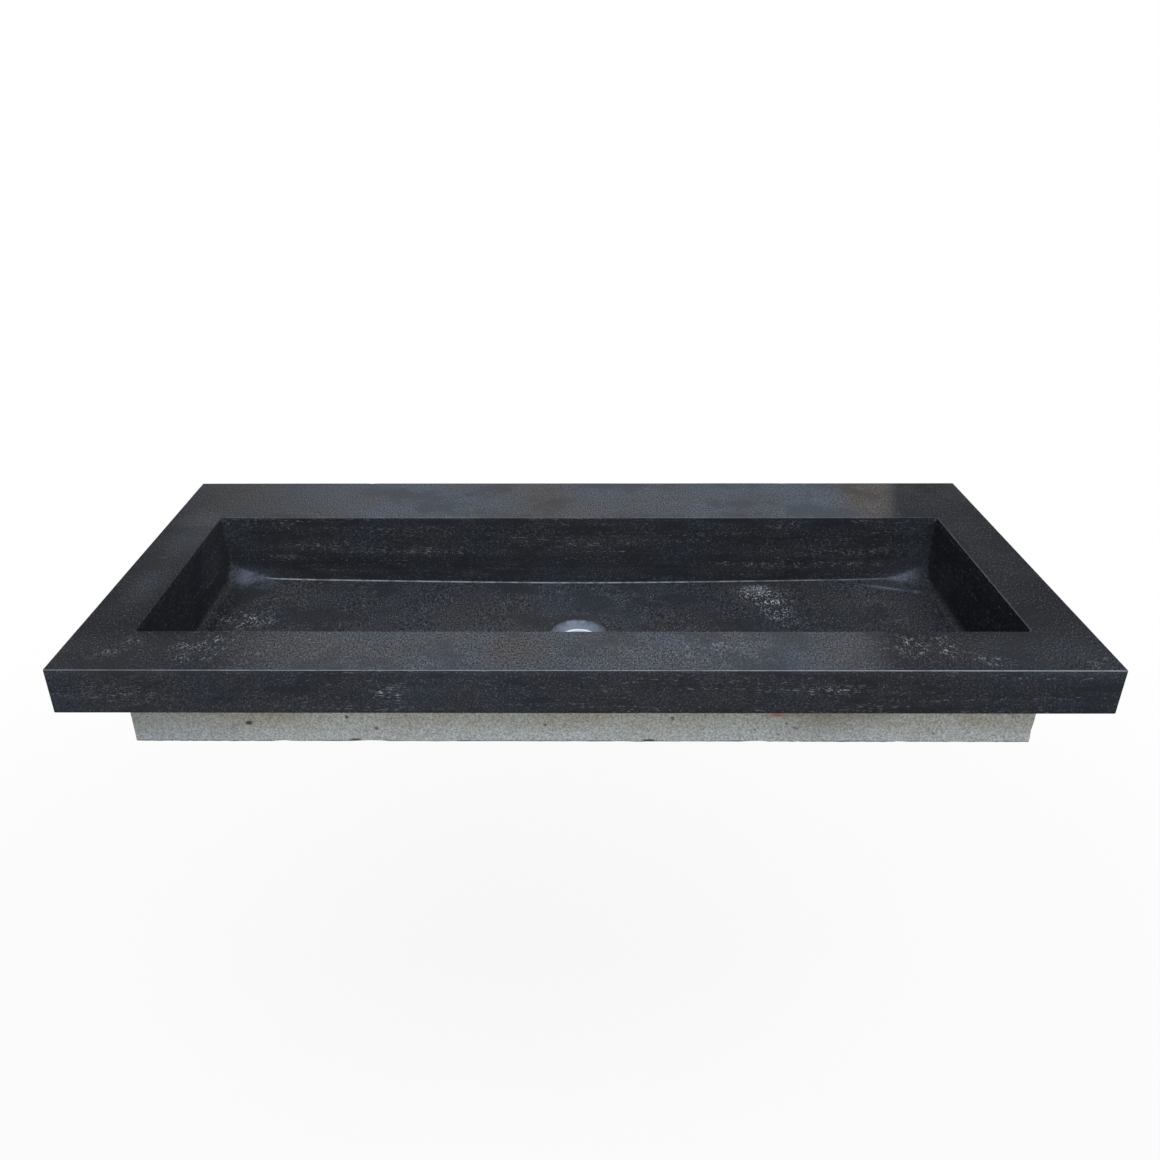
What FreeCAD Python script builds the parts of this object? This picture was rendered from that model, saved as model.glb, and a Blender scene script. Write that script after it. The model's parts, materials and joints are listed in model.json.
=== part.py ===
import FreeCAD, Part
import math
import os

# A stone washbasin with its push-to-open waste, in millimetres.
# The origin is on the waste axis, in the plane of the rim's underside.
# +X is to the right seen from the front, +Y to the back and +Z up.

Vector = FreeCAD.Vector

# Stone: outline
basin_width = 1050.0
basin_depth = 500.0
rim_thickness = 50.0
rim_overhang = 50.0
rim_corner_radius = 1.5
arris = 1.0
waste_from_front = 240.0

# Stone: bowl
bowl_depth = 95.0
floor_thickness = 25.0
side_land = 62.0
front_land = 77.0
back_land = 123.0
wall_draft = 4.0
floor_fall = 0.018
bowl_corner_radius = 5.0
corner_fill_along = 56.0
corner_fill_in = 33.0
corner_fill_up = 22.0
corner_ball_radius = 200.0

# Stone: outlet
recess_mouth_radius = 35.0
recess_depth = 11.0
underside_seat_radius = 38.0
underside_seat_depth = 2.0

# Waste: body
tail_radius = 20.95
tail_bore_radius = 18.4
tail_below_bridge = 21.0
tail_chamfer = 1.0
relief_below_nut = 1.5
relief_width = 2.0
relief_depth = 0.8
collar_wall = 0.85
collar_height = 3.0
flange_radius = 25.5
flange_edge = 1.0
flange_height = 3.2
crest_radius = 22.6
throat_radius = 20.4
throat_lip = 1.1
plug_seat_above_flange = 0.2
bridge_height = 10.0
bridge_arm_width = 3.0
bridge_arms = 3
bridge_boss_radius = 9.0

# Waste: seals and nut
gasket_thickness = 1.5
lower_seal_thickness = 4.0
lower_seal_radius = 30.0
lower_seal_taper = 2.0
friction_washer_thickness = 1.5
friction_washer_radius = 29.0
nut_across_flats = 52.0
nut_thickness = 9.0
nut_chamfer = 1.5

# Plug
plug_travel = 9.0
plug_seal_thickness = 1.5
plug_seal_inner_radius = 10.0
cap_edge = 1.5
cap_rise = 2.5
cap_boss_radius = 6.0
cap_boss_length = 5.2
retainer_radius = 15.0
retainer_thickness = 1.5
stud_radius = 3.0
stud_length = 5.4

# Cartridge
rod_radius = 3.5
stem_radius = 2.5
stem_below_rotor = 3.0
collar_thickness = 3.0
rotor_height = 4.0
rotor_lugs = 4
rotor_lug_width = 2.4
rotor_lug_depth = 1.1
housing_bore_radius = 6.0
housing_wall = 2.0
housing_floor = 3.0
cartridge_below_plug = 3.0
cartridge_cap_thickness = 2.0
cartridge_cap_spigot = 5.0
o_ring_section_radius = 0.7
spigot_radius = 5.0
spring_wire_radius = 0.45
spring_turns = 7
spring_closed_length = 12.0

# Clearances
bore_clearance = 0.45
gasket_clearance = 0.3
thread_clearance = 0.05
running_clearance = 0.05
guide_clearance = 0.1
rotor_clearance = 0.3
stop_clearance = 0.3
spring_clearance = 0.15
seal_clearance = 0.15
cap_clearance = 0.8
plug_seal_clearance = 0.5
flange_clearance = 1.5
cut_margin = 10.0

# Heights of the stone
basin_height = bowl_depth + floor_thickness
rim_top = rim_thickness
block_bottom = rim_top - basin_height
floor_low = rim_top - bowl_depth
recess_seat = floor_low - recess_depth
underside_seat = block_bottom + underside_seat_depth

# Plan of the stone
front = -waste_from_front
back = front + basin_depth
right = basin_width / 2
opening_front = front + front_land
opening_back = back - back_land
opening_right = right - side_land

# Radii of the outlet
collar_radius = tail_radius + collar_wall
outlet_radius = collar_radius + bore_clearance
recess_seat_radius = flange_radius + flange_clearance

# Heights of the waste and plug
flange_bottom = recess_seat + gasket_thickness
crest = flange_bottom + flange_height
plug_seat = flange_bottom + plug_seat_above_flange
plug_seal_top = plug_seat + plug_seal_thickness
cap_boss_bottom = plug_seal_top - cap_boss_length
washer_top = underside_seat - lower_seal_thickness
nut_top = washer_top - friction_washer_thickness
nut_bottom = nut_top - nut_thickness
relief_top = nut_bottom - relief_below_nut
relief_bottom = relief_top - relief_width

# Heights of the cartridge
cartridge_top = cap_boss_bottom - cartridge_below_plug
housing_top = cartridge_top - cartridge_cap_thickness
spigot_bottom = housing_top - cartridge_cap_spigot
collar_top = spigot_bottom - plug_travel - stop_clearance
rotor_top = collar_top - collar_thickness
rotor_bottom = rotor_top - rotor_height
housing_inside = rotor_bottom - spring_closed_length
housing_bottom = housing_inside - housing_floor
bridge_bottom = housing_bottom - bridge_height
tail_bottom = bridge_bottom - tail_below_bridge


def turned(points):
    """A solid of revolution about the waste axis from a closed outline of (radius, height) points."""
    outline = Part.makePolygon([Vector(r, 0, z) for r, z in points + points[:1]])
    return Part.Face(outline).revolve(Vector(0, 0, 0), Vector(0, 0, 1), 360)


def ring(inner, outer, bottom, top):
    return turned([(inner, bottom), (outer, bottom), (outer, top), (inner, top)])


def disc(radius, bottom, top):
    return turned([(0, bottom), (radius, bottom), (radius, top), (0, top)])


def block(x_low, x_high, y_low, y_high, z_low, z_high):
    corner = Vector(x_low, y_low, z_low)
    return Part.makeBox(x_high - x_low, y_high - y_low, z_high - z_low, corner)


def edges_between(shape, low, high):
    """The edges whose lowest and highest points are at two heights."""
    near = 0.01
    boxes = [(edge, edge.BoundBox) for edge in shape.Edges]
    return [edge for edge, box in boxes if abs(box.ZMin - low) < near and abs(box.ZMax - high) < near]


def upright_edges(shape):
    """The edges of a box-like solid that run from its lowest face to its highest."""
    return edges_between(shape, shape.BoundBox.ZMin, shape.BoundBox.ZMax)


def bowl_block():
    """The bowl's space as a block with drafted walls, from below its floor to above the rim."""
    low, high = floor_low - cut_margin, rim_top + cut_margin
    low_inset = wall_draft * (rim_top - low) / bowl_depth
    high_inset = wall_draft * (rim_top - high) / bowl_depth
    low_right, high_right = opening_right - low_inset, opening_right - high_inset
    # a wedge is drawn lying on its back and then stood up, so its third axis starts at the back
    lying = Part.makeWedge(
        -low_right, low, low_inset - opening_back, high_inset - opening_back, -high_right,
        low_right, high, -low_inset - opening_front, -high_inset - opening_front, high_right)
    lying.rotate(Vector(0, 0, 0), Vector(1, 0, 0), 90)
    return lying.makeFillet(bowl_corner_radius, upright_edges(lying))


def ball_insets():
    """How far the centre of a corner's ball is in from its three faces.

    The ball meets each of the three edges at the fill's reach, which puts its centre on the line that
    leaves the middle of the reaches in the direction of one over each reach.
    """
    reaches = [corner_fill_along, corner_fill_in, corner_fill_up]
    steepness = sum(1 / reach**2 for reach in reaches)
    middle = sum(reach**2 for reach in reaches) / 4
    lift = (math.sqrt(1 + 4 * steepness * (corner_ball_radius**2 - middle)) - 1) / (2 * steepness)
    return [reach / 2 + lift / reach for reach in reaches]


def corner_fill(x_side, y_corner, y_side):
    """Stone left in a bottom corner of the bowl, hollowed by a ball."""
    x_corner = x_side * (opening_right - wall_draft)
    z_corner = floor_low + floor_fall * math.hypot(x_corner, y_corner)
    along, inward, up = ball_insets()
    centre = Vector(x_corner - x_side * along, y_corner - y_side * inward, z_corner + up)
    ball = Part.makeSphere(corner_ball_radius, centre)
    x_range = sorted([x_corner + x_side * cut_margin, centre.x])
    y_range = sorted([y_corner + y_side * cut_margin, centre.y])
    return block(*x_range, *y_range, z_corner - cut_margin, centre.z).cut(ball)


def bowl_space():
    """Everything that is carved out above the floor."""
    reach = basin_width
    lid = rim_top + cut_margin
    above_floor = turned([(0, floor_low), (reach, floor_low + floor_fall * reach), (reach, lid), (0, lid)])
    space = bowl_block().common(above_floor)
    y_front, y_back = opening_front + wall_draft, opening_back - wall_draft
    for x_side in (-1, 1):
        space = space.cut(corner_fill(x_side, y_front, -1))
        space = space.cut(corner_fill(x_side, y_back, 1))
    return space


def outlet_space():
    """The ground recess, the hole for the waste and the seat ground flat on the underside."""
    spread = (recess_mouth_radius - recess_seat_radius) / recess_depth
    above = floor_low + cut_margin
    below = block_bottom - cut_margin
    return turned([
        (0, below),
        (underside_seat_radius, below),
        (underside_seat_radius, underside_seat),
        (outlet_radius, underside_seat),
        (outlet_radius, recess_seat),
        (recess_seat_radius, recess_seat),
        (recess_mouth_radius + spread * cut_margin, above),
        (0, above),
    ])


def stone_basin():
    rim = block(-right, right, front, back, 0, rim_top)
    rim = rim.makeFillet(rim_corner_radius, upright_edges(rim))
    block_right = right - rim_overhang
    lower = block(-block_right, block_right, front + rim_overhang, back - rim_overhang, block_bottom, 0)
    stone = rim.fuse(lower).removeSplitter()
    stone = stone.cut(bowl_space()).cut(outlet_space())
    return stone.makeChamfer(arris, edges_between(stone, rim_top, rim_top))


def crest_arc(foot):
    """An arc that leaves the flange's crest level and ends at a lower point."""
    top = Vector(crest_radius, 0, crest)
    across, drop = foot.x - top.x, top.z - foot.z
    radius = (across**2 + drop**2) / (2 * drop)
    half = math.atan2(abs(across), radius - drop) / 2
    side = math.copysign(radius * math.sin(half), across)
    return Part.Arc(top, Vector(top.x + side, 0, top.z - radius * (1 - math.cos(half))), foot)


def flange_outline():
    """Outline of the flange from its outer foot over the crest and down the throat to the plug's seat."""
    foot = Vector(flange_radius, 0, flange_bottom)
    edge = Vector(flange_radius, 0, flange_bottom + flange_edge)
    lip = Vector(throat_radius, 0, crest - throat_lip)
    seat = Vector(throat_radius, 0, plug_seat)
    return [Part.LineSegment(foot, edge), crest_arc(edge), crest_arc(lip), Part.LineSegment(lip, seat)]


def waste_body():
    """Flange, collar and tail in one turning, with a bridge across the tail that carries the cartridge.

    A relief groove ends the nut's thread, and the tail below it is free for a trap.
    """
    corners = [
        (throat_radius, plug_seat),
        (tail_bore_radius, plug_seat),
        (tail_bore_radius, tail_bottom),
        (tail_radius - tail_chamfer, tail_bottom),
        (tail_radius, tail_bottom + tail_chamfer),
        (tail_radius, relief_bottom),
        (tail_radius - relief_depth, relief_bottom),
        (tail_radius - relief_depth, relief_top),
        (tail_radius, relief_top),
        (tail_radius, flange_bottom - collar_height),
        (collar_radius, flange_bottom - collar_height),
        (collar_radius, flange_bottom),
        (flange_radius, flange_bottom),
    ]
    points = [Vector(r, 0, z) for r, z in corners]
    lines = [Part.LineSegment(a, b) for a, b in zip(points, points[1:])]
    outline = Part.Wire([curve.toShape() for curve in flange_outline() + lines])
    body = Part.Face(outline).revolve(Vector(0, 0, 0), Vector(0, 0, 1), 360)
    arm_end = (tail_bore_radius + tail_radius) / 2
    bridge = disc(bridge_boss_radius, bridge_bottom, housing_bottom)
    for i in range(bridge_arms):
        arm = block(0, arm_end, -bridge_arm_width / 2, bridge_arm_width / 2, bridge_bottom, housing_bottom)
        arm.rotate(Vector(0, 0, 0), Vector(0, 0, 1), 360 * i / bridge_arms)
        bridge = bridge.fuse(arm)
    hole = disc(spigot_radius + thread_clearance, bridge_bottom - cut_margin, housing_bottom + cut_margin)
    return body.fuse(bridge).cut(hole).removeSplitter()


def flange_gasket():
    inner, outer = collar_radius + gasket_clearance, flange_radius - gasket_clearance
    return ring(inner, outer, recess_seat, flange_bottom)


def lower_seal():
    bore = tail_radius + seal_clearance
    return turned([
        (bore, washer_top),
        (lower_seal_radius - lower_seal_taper, washer_top),
        (lower_seal_radius, underside_seat),
        (bore, underside_seat),
    ])


def friction_washer():
    return ring(tail_radius + seal_clearance, friction_washer_radius, nut_top, washer_top)


def back_nut():
    corner_radius = nut_across_flats / 2 / math.cos(math.pi / 6)
    turns = [math.radians(60 * i) for i in range(6)]
    corners = [Vector(corner_radius * math.cos(t), corner_radius * math.sin(t), nut_bottom) for t in turns]
    hexagon = Part.Face(Part.makePolygon(corners + corners[:1])).extrude(Vector(0, 0, nut_thickness))
    # a nut's corners are turned down to a cone on its lower face
    slope = turned([
        (0, nut_bottom),
        (corner_radius - nut_chamfer, nut_bottom),
        (corner_radius, nut_bottom + nut_chamfer / 2),
        (corner_radius, nut_top),
        (0, nut_top),
    ])
    hole = disc(tail_radius + thread_clearance, nut_bottom - cut_margin, nut_top + cut_margin)
    return hexagon.common(slope).cut(hole)


def plug_cap():
    """A shallow dome with a threaded boss below it."""
    radius = throat_radius - cap_clearance
    edge = Vector(radius, 0, plug_seal_top + cap_edge)
    crown = Vector(0, 0, edge.z + cap_rise)
    ball = (radius**2 + cap_rise**2) / (2 * cap_rise)
    half = math.asin(radius / ball) / 2
    middle = Vector(ball * math.sin(half), 0, crown.z - ball * (1 - math.cos(half)))
    foot = Vector(radius, 0, plug_seal_top)
    boss_root = Vector(cap_boss_radius, 0, plug_seal_top)
    boss_end = Vector(cap_boss_radius, 0, cap_boss_bottom)
    axis_end = Vector(0, 0, cap_boss_bottom)
    curves = [
        Part.Arc(crown, middle, edge),
        Part.LineSegment(edge, foot),
        Part.LineSegment(foot, boss_root),
        Part.LineSegment(boss_root, boss_end),
        Part.LineSegment(boss_end, axis_end),
        Part.LineSegment(axis_end, crown),
    ]
    outline = Part.Wire([curve.toShape() for curve in curves])
    cap = Part.Face(outline).revolve(Vector(0, 0, 0), Vector(0, 0, 1), 360)
    thread_top = cap_boss_bottom + stud_length + thread_clearance
    return cap.cut(disc(stud_radius + thread_clearance, cap_boss_bottom - cut_margin, thread_top))


def plug_seal():
    return ring(plug_seal_inner_radius, throat_radius - plug_seal_clearance, plug_seat, plug_seal_top)


def seal_retainer():
    """A ring nut on the cap's boss, with a step that fills the seal's hole."""
    bore = cap_boss_radius + thread_clearance
    return turned([
        (bore, plug_seat - retainer_thickness),
        (retainer_radius, plug_seat - retainer_thickness),
        (retainer_radius, plug_seat),
        (plug_seal_inner_radius - gasket_clearance, plug_seat),
        (plug_seal_inner_radius - gasket_clearance, plug_seal_top),
        (bore, plug_seal_top),
    ])


def plunger():
    """Stud, rod, collar and stem in one turning."""
    collar_radius_inside = housing_bore_radius - guide_clearance
    return turned([
        (0, rotor_bottom - stem_below_rotor),
        (stem_radius, rotor_bottom - stem_below_rotor),
        (stem_radius, rotor_top),
        (collar_radius_inside, rotor_top),
        (collar_radius_inside, collar_top),
        (rod_radius, collar_top),
        (rod_radius, cap_boss_bottom),
        (stud_radius, cap_boss_bottom),
        (stud_radius, cap_boss_bottom + stud_length),
        (0, cap_boss_bottom + stud_length),
    ])


def latch_rotor():
    """A ring on the plunger's stem with lugs that reach towards the housing's wall."""
    lug_radius = housing_bore_radius - rotor_clearance
    core = ring(stem_radius + running_clearance, lug_radius - rotor_lug_depth, rotor_bottom, rotor_top)
    limit = ring(stem_radius + running_clearance, lug_radius, rotor_bottom, rotor_top)
    half_width = rotor_lug_width / 2
    for i in range(rotor_lugs):
        lug = block(0, housing_bore_radius, -half_width, half_width, rotor_bottom, rotor_top)
        lug.rotate(Vector(0, 0, 0), Vector(0, 0, 1), 360 * i / rotor_lugs)
        core = core.fuse(lug.common(limit))
    return core.removeSplitter()


def cartridge_body():
    """A cup that holds the latch and spring, with a threaded spigot for the bridge."""
    wall_radius = housing_bore_radius + housing_wall
    return turned([
        (0, bridge_bottom),
        (spigot_radius, bridge_bottom),
        (spigot_radius, housing_bottom),
        (wall_radius, housing_bottom),
        (wall_radius, housing_top),
        (housing_bore_radius, housing_top),
        (housing_bore_radius, housing_inside),
        (0, housing_inside),
    ])


def o_ring_radius():
    return rod_radius + running_clearance + o_ring_section_radius


def o_ring_height():
    return (housing_top + spigot_bottom) / 2


def cartridge_cap():
    """Closes the housing, guides the rod and holds the rod's seal in a groove."""
    bore = rod_radius + running_clearance
    spigot = housing_bore_radius - thread_clearance
    groove = o_ring_radius() + o_ring_section_radius + running_clearance
    half_groove = o_ring_section_radius + running_clearance
    middle = o_ring_height()
    return turned([
        (bore, spigot_bottom),
        (spigot, spigot_bottom),
        (spigot, housing_top),
        (housing_bore_radius + housing_wall, housing_top),
        (housing_bore_radius + housing_wall, cartridge_top),
        (bore, cartridge_top),
        (bore, middle + half_groove),
        (groove, middle + half_groove),
        (groove, middle - half_groove),
        (bore, middle - half_groove),
    ])


def rod_seal():
    return Part.makeTorus(o_ring_radius(), o_ring_section_radius, Vector(0, 0, o_ring_height()))


def spring_radius():
    return housing_bore_radius - rotor_clearance - spring_wire_radius


def spring_path():
    """Points of the helix, a quarter turn apart, with the direction of the wire at each."""
    low = housing_inside + spring_clearance + spring_wire_radius
    high = rotor_bottom - spring_clearance - spring_wire_radius
    radius = spring_radius()
    climb = (high - low) / (2 * math.pi * spring_turns)
    stations = []
    for i in range(4 * spring_turns + 1):
        turn = math.pi / 2 * i
        point = Vector(radius * math.cos(turn), radius * math.sin(turn), low + climb * turn)
        along = Vector(-radius * math.sin(turn), radius * math.cos(turn), climb).normalize()
        stations.append((point, along))
    return stations


def arc_from(start, knee, end):
    """The arc from start to end whose end tangents meet at the knee."""
    middle = (start + end) * 0.5
    lean = (knee - start).getAngle(end - start)
    rise = (end - start).Length / 2 * math.tan(lean / 2)
    return Part.Arc(start, middle + (knee - middle).normalize() * rise, end).toShape()


def biarc(start, start_along, end, end_along):
    """Two tangent arcs between two points with given directions."""
    chord = end - start
    a = 2 * (1 - start_along.dot(end_along))
    b = 2 * chord.dot(start_along + end_along)
    arm = (-b + math.sqrt(b * b + 4 * a * chord.dot(chord))) / (2 * a)
    first_knee = start + start_along * arm
    second_knee = end - end_along * arm
    joint = (first_knee + second_knee) * 0.5
    return [arc_from(start, first_knee, joint), arc_from(joint, second_knee, end)]


def cartridge_spring():
    stations = spring_path()
    edges = []
    for (start, start_along), (end, end_along) in zip(stations, stations[1:]):
        edges += biarc(start, start_along, end, end_along)
    first, along = stations[0]
    section = Part.Wire([Part.makeCircle(spring_wire_radius, first, along)])
    gap = min((p - q).Length for (p, _), (q, _) in zip(stations, stations[4:])) - 2 * spring_wire_radius
    print("spring: least gap between turns %.2f mm" % gap)
    return Part.Wire(edges).makePipeShell([section], True, False)


nodes = {
    "stone_basin": stone_basin,
    "waste_body": waste_body,
    "flange_gasket": flange_gasket,
    "lower_seal": lower_seal,
    "friction_washer": friction_washer,
    "back_nut": back_nut,
    "cartridge_body": cartridge_body,
    "cartridge_cap": cartridge_cap,
    "rod_seal": rod_seal,
    "cartridge_spring": cartridge_spring,
    "latch_rotor": latch_rotor,
    "plunger": plunger,
    "plug_cap": plug_cap,
    "plug_seal": plug_seal,
    "seal_retainer": seal_retainer,
}

os.makedirs("parts", exist_ok=True)
for name, make in nodes.items():
    shape = make()
    solids = shape.Solids
    if len(solids) == 1:
        shape = solids[0]
    box = shape.BoundBox
    print("%-17s solids %d valid %s volume %.1f z %.2f to %.2f" % (
        name, len(solids), shape.isValid(), shape.Volume, box.ZMin, box.ZMax))
    shape.exportStep("parts/%s.step" % name)
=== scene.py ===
import json
import math

import bpy
import numpy as np
from mathutils import Matrix


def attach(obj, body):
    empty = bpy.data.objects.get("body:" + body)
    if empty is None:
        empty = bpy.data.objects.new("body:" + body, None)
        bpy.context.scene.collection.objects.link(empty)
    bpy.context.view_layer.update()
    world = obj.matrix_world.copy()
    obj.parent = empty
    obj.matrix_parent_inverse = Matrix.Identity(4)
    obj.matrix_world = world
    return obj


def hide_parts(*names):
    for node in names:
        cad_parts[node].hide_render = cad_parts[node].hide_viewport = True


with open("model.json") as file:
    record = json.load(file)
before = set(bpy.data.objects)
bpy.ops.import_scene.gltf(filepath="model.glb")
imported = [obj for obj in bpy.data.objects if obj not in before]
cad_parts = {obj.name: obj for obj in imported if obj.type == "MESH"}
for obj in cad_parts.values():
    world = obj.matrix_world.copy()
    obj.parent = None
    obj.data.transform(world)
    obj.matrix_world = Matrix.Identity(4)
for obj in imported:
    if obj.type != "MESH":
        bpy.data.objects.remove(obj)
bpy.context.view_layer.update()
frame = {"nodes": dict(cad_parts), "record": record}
print("frame loaded:", len(frame["nodes"]), "nodes")


def tone(red, green, blue):  # a screen colour, 0 to 255 each, as the linear colour that a shader takes
    share = np.array([red, green, blue]) / 255
    linear = np.where(share <= .04045, share / 12.92, ((share + .055) / 1.055) ** 2.4)
    return (*linear.tolist(), 1.0)


# Noise for shapes: random numbers on a lattice with cells of the given size,
# blended smoothly between the eight corners of the cell that a point is in
def latticeNoise(points, cellSize, seed):
    side = 48
    table = np.random.default_rng(seed).random((side, side, side))
    cell = points / np.asarray(cellSize)
    base = np.floor(cell).astype(int)
    part = cell - base
    part = part * part * (3 - 2 * part)
    total = np.zeros(points.shape[:-1])
    for corner in np.ndindex(2, 2, 2):
        weight = np.where(np.array(corner) == 1, part, 1 - part).prod(-1)
        x, y, z = np.moveaxis((base + np.array(corner)) % side, -1, 0)
        total += weight * table[x, y, z]
    return total


def smoothStep(value, low, high):
    share = np.clip((value - low) / (high - low), 0, 1)
    return share * share * (3 - 2 * share)


# Faces between neighbouring points of a grid that closes on itself across, and along too if asked
def gridFaces(rows, columns, closedAlong):
    index = np.arange(rows * columns).reshape(rows, columns)
    ahead = np.roll(index, -1, 0)
    faces = np.stack([index, ahead, np.roll(ahead, -1, 1), np.roll(index, -1, 1)], -1)
    return (faces if closedAlong else faces[:-1]).reshape(-1, 4)


def meshPiece(name, points, faces, sharpDegrees, masks=None):
    points = np.asarray(points, float).reshape(-1, 3)
    sizes = np.array([len(group[0]) for group in faces for _ in range(len(group))])
    corners = np.concatenate([np.asarray(group).ravel() for group in faces])
    mesh = bpy.data.meshes.new(name)
    mesh.vertices.add(len(points))
    mesh.vertices.foreach_set("co", points.ravel())
    mesh.loops.add(len(corners))
    mesh.loops.foreach_set("vertex_index", corners)
    mesh.polygons.add(len(sizes))
    mesh.polygons.foreach_set("loop_start", np.concatenate([[0], np.cumsum(sizes)[:-1]]))
    mesh.update(calc_edges=True)
    mesh.shade_smooth()
    mesh.set_sharp_from_angle(angle=math.radians(sharpDegrees))
    for maskName, values in (masks or {}).items():
        mesh.attributes.new(maskName, "FLOAT", "POINT").data.foreach_set("value", np.ravel(values))
    piece = bpy.data.objects.new(name, mesh)
    bpy.context.scene.collection.objects.link(piece)
    print(name, "has", len(points), "points and", len(sizes), "faces")
    return piece


def dress(piece, body, node, finish):
    piece.data.materials.append(finish)
    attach(piece, body)
    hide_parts(node)


# Shader helpers: each adds one node and returns its output
def newFinish(name):
    finish = bpy.data.materials.new(name)
    finish.use_nodes = True
    return finish, finish.node_tree, finish.node_tree.nodes["Principled BSDF"]


def addNode(tree, kind, inputs, **settings):
    node = tree.nodes.new(kind)
    for key, value in settings.items():
        setattr(node, key, value)
    for key, value in inputs.items():
        if isinstance(value, bpy.types.NodeSocket):
            tree.links.new(value, node.inputs[key])
        else:
            node.inputs[key].default_value = value
    return node


def objectPlace(tree, stretch=(1, 1, 1), turn=(0, 0, 0)):
    place = addNode(tree, "ShaderNodeTexCoord", {}).outputs["Object"]
    inputs = {"Vector": place, "Scale": stretch, "Rotation": turn}
    return addNode(tree, "ShaderNodeMapping", inputs).outputs[0]


def noiseOf(tree, place, scale, detail=2.0, rough=.5):
    inputs = {"Vector": place, "Scale": scale, "Detail": detail, "Roughness": rough}
    return addNode(tree, "ShaderNodeTexNoise", inputs).outputs[0]


def maskOf(tree, name):
    return addNode(tree, "ShaderNodeAttribute", {}, attribute_name=name).outputs["Fac"]


def softPatch(tree, middle, radii, degrees):  # 1 at its middle, 0 at its radii, turned about the upright axis
    place = addNode(tree, "ShaderNodeTexCoord", {}).outputs["Object"]
    inputs = {"Vector": place, "Location": middle, "Rotation": (0, 0, math.radians(degrees)), "Scale": radii}
    inside = addNode(tree, "ShaderNodeMapping", inputs, vector_type="TEXTURE").outputs[0]
    fading = addNode(tree, "ShaderNodeTexGradient", {"Vector": inside}, gradient_type="SPHERICAL")
    return fading.outputs["Fac"]


def calc(tree, operation, first, second=0.0):
    return addNode(tree, "ShaderNodeMath", {0: first, 1: second}, operation=operation).outputs[0]


def lengthOf(tree, vector):
    return addNode(tree, "ShaderNodeVectorMath", {0: vector}, operation="LENGTH").outputs["Value"]


def between(tree, value, low, high, toLow=0.0, toHigh=1.0):
    inputs = {"Value": value, "From Min": low, "From Max": high, "To Min": toLow, "To Max": toHigh}
    return addNode(tree, "ShaderNodeMapRange", inputs, interpolation_type="SMOOTHSTEP").outputs[0]


def blendColour(tree, share, first, second, kind="MIX"):
    inputs = {0: share, 6: first, 7: second}
    return addNode(tree, "ShaderNodeMix", inputs, data_type="RGBA", blend_type=kind).outputs[2]


def bumpOf(tree, height, strength, distance):
    inputs = {"Height": height, "Strength": strength, "Distance": distance}
    return addNode(tree, "ShaderNodeBump", inputs).outputs[0]


# The stone: a profile carried round rectangles with round corners, from the outlet's mouth over the floor,
# the walls, the rim and the block, along the underside and up through the outlet to where it began
stone = dict(
    outer=(-.525, .525, -.240, .260), outerCorner=.0015,    # left, right, front, back
    opening=(-.463, .463, -.163, .137), openingCorner=.005,
    block=(-.475, .475, -.190, .210), blockCorner=.0015,
    rimTop=.050, rimUnder=.0, blockBottom=-.070,
    floorLow=-.045, floorFall=.018, wallDraft=.004,
    arris=.0010, lowerArris=.0008,
    coveLong=.0015, coveShort=.0090,
    fillReach=(.056, .033, .022), fillBall=.200, fillBlend=.0018,
    recessMouth=.0354, recessSeat=.027, recessSeatHeight=-.056,
    boreRadius=.02225, underSeat=.038, underSeatHeight=-.068,
    longPoints=176, shortPoints=74, arcPoints=9, crowding=.45,
    floorRows=46, wallRows=24, landRows=12, faceRows=12, underRows=6, blockRows=16, undersideRows=8,
    edgeHold=.012, landHold=.008,    # shares of a face held flat beside its rounded edges
    leastCorner=.001, seatStep=.006, recessStep=.002, recessRows=7,
    waveDepth=.00022, nickDepth=.0005, grainDepth=.00045, pitDepth=.0010, raggedDepth=.0014, footGrain=.0004,
)


# One walk round a rectangle from its front left corner: shares of its width and depth, and the outward angle
def rectangleWalk(s):
    def crowded(count):  # even steps, drawn in towards both ends
        share = (np.arange(count) + 1) / (count + 1)
        return (1 - s["crowding"]) * share + s["crowding"] * (1 - np.cos(np.pi * share)) / 2

    turn = np.linspace(0, np.pi / 2, s["arcPoints"])
    corners = [(0, 0), (1, 0), (1, 1), (0, 1), (0, 0)]
    parts = []
    for side in range(4):
        share = crowded(s["longPoints"] if side % 2 == 0 else s["shortPoints"])[:, None]
        start, end = np.array(corners[side]), np.array(corners[side + 1])
        facing = (side - 1) * np.pi / 2
        parts.append(np.c_[start + (end - start) * share, np.full(len(share), facing)])
        parts.append(np.c_[np.tile(end, (len(turn), 1)), facing + turn])
    return np.concatenate(parts).T


# A rectangle's edge points: the corner arc's centre slid along the sides, plus the corner radius outwards
def ringPoints(walk, sides, inset, corner, height):
    wide, deep, facing = walk
    left, right, front, back = (np.asarray(side) for side in sides)
    low = left + inset + corner
    x = low + wide * (right - inset - corner - low) + corner * np.cos(facing)
    low = front + inset + corner
    y = low + deep * (back - inset - corner - low) + corner * np.sin(facing)
    return np.stack(np.broadcast_arrays(x, y, height), -1)


def column(values):
    return np.asarray(values, float)[:, None]


# Even shares from 0 to 1 with one more close to each end, which keeps a flat face flat beside a rounded edge
def heldShares(count, support):
    return column(np.concatenate([[support], np.linspace(0, 1, count)[1:-1], [1 - support]]))


def floorHeight(s, x, y):
    return s["floorLow"] + s["floorFall"] * np.hypot(x, y)


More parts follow.
